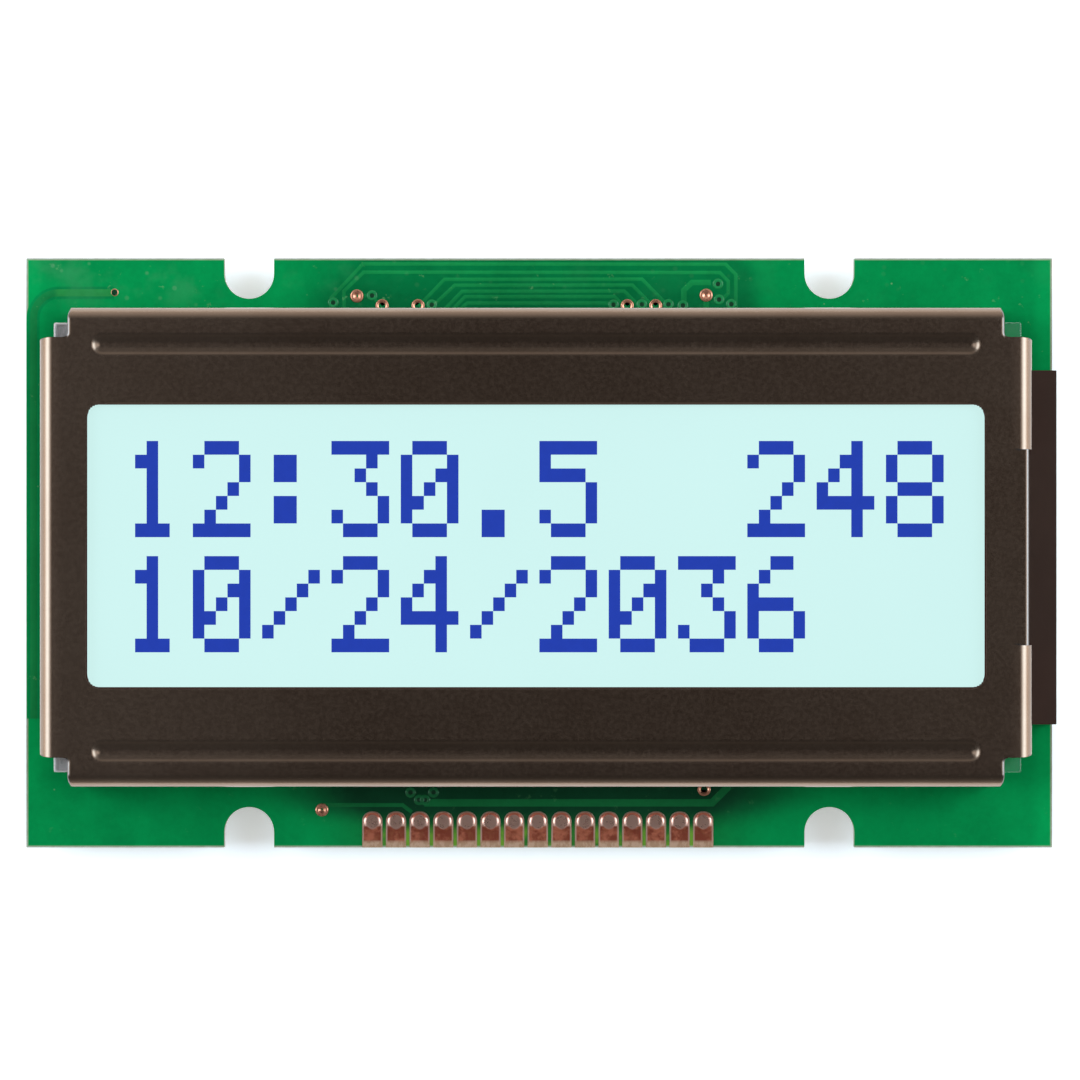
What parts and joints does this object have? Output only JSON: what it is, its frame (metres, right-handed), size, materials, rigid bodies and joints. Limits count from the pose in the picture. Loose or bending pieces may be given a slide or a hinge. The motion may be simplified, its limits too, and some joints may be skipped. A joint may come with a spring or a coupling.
{
  "type": "character lcd module",
  "caption": "Character display module: a dot-matrix glass cell under a dark pressed bezel, on a green board with open screw notches and a row of edge pads.",
  "frame": {"origin": "centre of the circuit board's back face", "axes": "+X along the lines of characters to the right, +Y up as the display is read, +Z out of its front"},
  "size_m": [0.0558, 0.032, 0.0093],
  "materials": {
    "solder_mask": "satin",
    "tinned_pad": "satin",
    "plated_copper": "satin",
    "gold_finger": "satin",
    "bezel_paint": "satin",
    "polarizer": "satin",
    "cell_glass": "gloss",
    "seal_resin": "matte",
    "plug_resin": "gloss",
    "elastomer": "matte",
    "frame_plastic": "matte",
    "guide_acrylic": "gloss",
    "white_film": "matte",
    "lamp_cover": "matte",
    "strip_board": "matte",
    "lamp_body": "gloss",
    "tinned_wire": "satin",
    "solder": "gloss",
    "silicon": "gloss",
    "cover_resin": "gloss",
    "resistor_body": "matte",
    "capacitor_body": "matte"
  },
  "bodies": {
    "root": {"board": "solder_mask", "edge_pads": "tinned_pad", "plated_points": "plated_copper", "contact_fingers": "gold_finger", "bezel": "bezel_paint", "front_polarizer": "polarizer", "front_glass": "cell_glass", "cell_seal": "seal_resin", "fill_plug": "plug_resin", "rear_glass": "cell_glass", "rear_polarizer": "polarizer", "elastomer_strip_upper": "elastomer", "elastomer_strip_lower": "elastomer", "backlight_frame": "frame_plastic", "light_guide": "guide_acrylic", "reflector_sheet": "white_film", "diffuser_sheet": "white_film", "prism_sheet": "white_film", "lamp_housing": "lamp_cover", "lamp_board": "strip_board", "led_1": "lamp_body", "led_2": "lamp_body", "led_3": "lamp_body", "lamp_lead_anode": "tinned_wire", "lamp_lead_cathode": "tinned_wire", "lead_solder": "solder", "controller_die": "silicon", "controller_cover": "cover_resin", "driver_die": "silicon", "driver_cover": "cover_resin", "resistor_1": "resistor_body", "resistor_2": "resistor_body", "resistor_3": "resistor_body", "resistor_4": "resistor_body", "resistor_5": "resistor_body", "resistor_6": "resistor_body", "capacitor_1": "capacitor_body", "capacitor_2": "capacitor_body", "chip_solder": "solder"}
  },
  "joints": []
}
